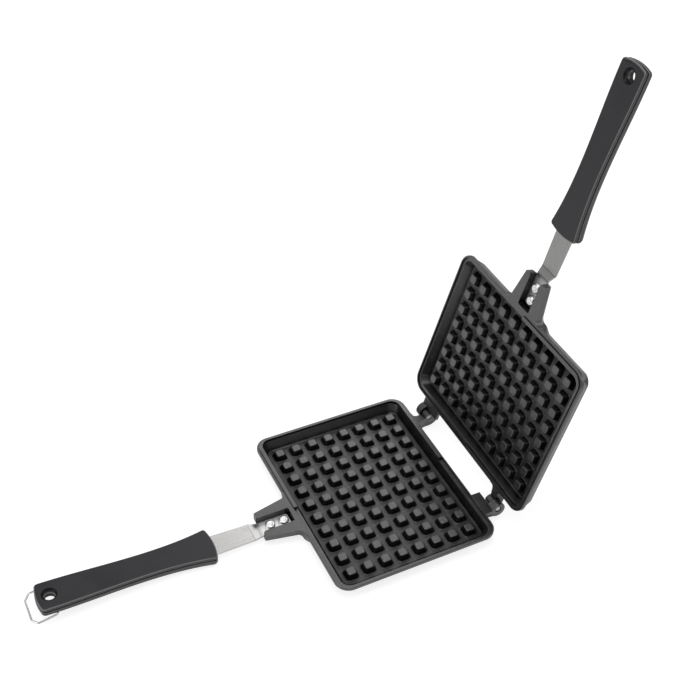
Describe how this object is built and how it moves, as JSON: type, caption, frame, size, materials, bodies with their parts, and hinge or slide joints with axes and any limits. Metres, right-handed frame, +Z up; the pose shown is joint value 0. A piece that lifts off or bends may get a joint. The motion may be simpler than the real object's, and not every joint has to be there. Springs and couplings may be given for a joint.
{
  "type": "stovetop waffle iron",
  "caption": "Hinged two-plate stovetop waffle iron with pinned square grids, steel tangs, two-shell handles with hanging holes and a wire lock clip.",
  "frame": {"origin": "on the flat underside of the lower plate, below the centre of its pin grid", "axes": "+X from the handle towards the hinge, +Y along the hinge line to the rear of the picture, +Z up"},
  "size_m": [0.3779, 0.1364, 0.287],
  "materials": {
    "cast_plate": "dark grey non-stick coating with a fine texture",
    "tang_steel": "brushed stainless strip",
    "rivet_metal": "bright domed rivet",
    "handle_plastic": "charcoal moulded heat-resistant plastic with a soft sheen",
    "screw_steel": "plain slotted screw",
    "pin_steel": "plain steel pin",
    "clip_wire": "bright drawn wire"
  },
  "bodies": {
    "lower_half": {"lower_plate": "cast_plate", "lower_tang": "tang_steel", "lower_tang_rivets": "rivet_metal", "lower_handle_inner_shell": "handle_plastic", "lower_handle_outer_shell": "handle_plastic", "lower_handle_screws": "screw_steel", "hinge_pin_front": "pin_steel", "hinge_pin_rear": "pin_steel"},
    "upper_half": {"upper_plate": "cast_plate", "upper_tang": "tang_steel", "upper_tang_rivets": "rivet_metal", "upper_handle_inner_shell": "handle_plastic", "upper_handle_outer_shell": "handle_plastic", "upper_handle_screws": "screw_steel"},
    "lock_clip": {"lock_clip": "clip_wire"}
  },
  "joints": [
    {"name": "plate_hinge", "type": "hinge", "parent": "lower_half", "child": "upper_half", "pos_m": [0.06534, 0, 0.0099], "axis": [0, -1, 0], "range_deg": [0, 105]},
    {"name": "clip_pivot", "type": "hinge", "parent": "lower_half", "child": "lock_clip", "pos_m": [-0.21251, 0, 0.00718], "axis": [0, 1, 0], "range_deg": [-154, 104.6]}
  ]
}
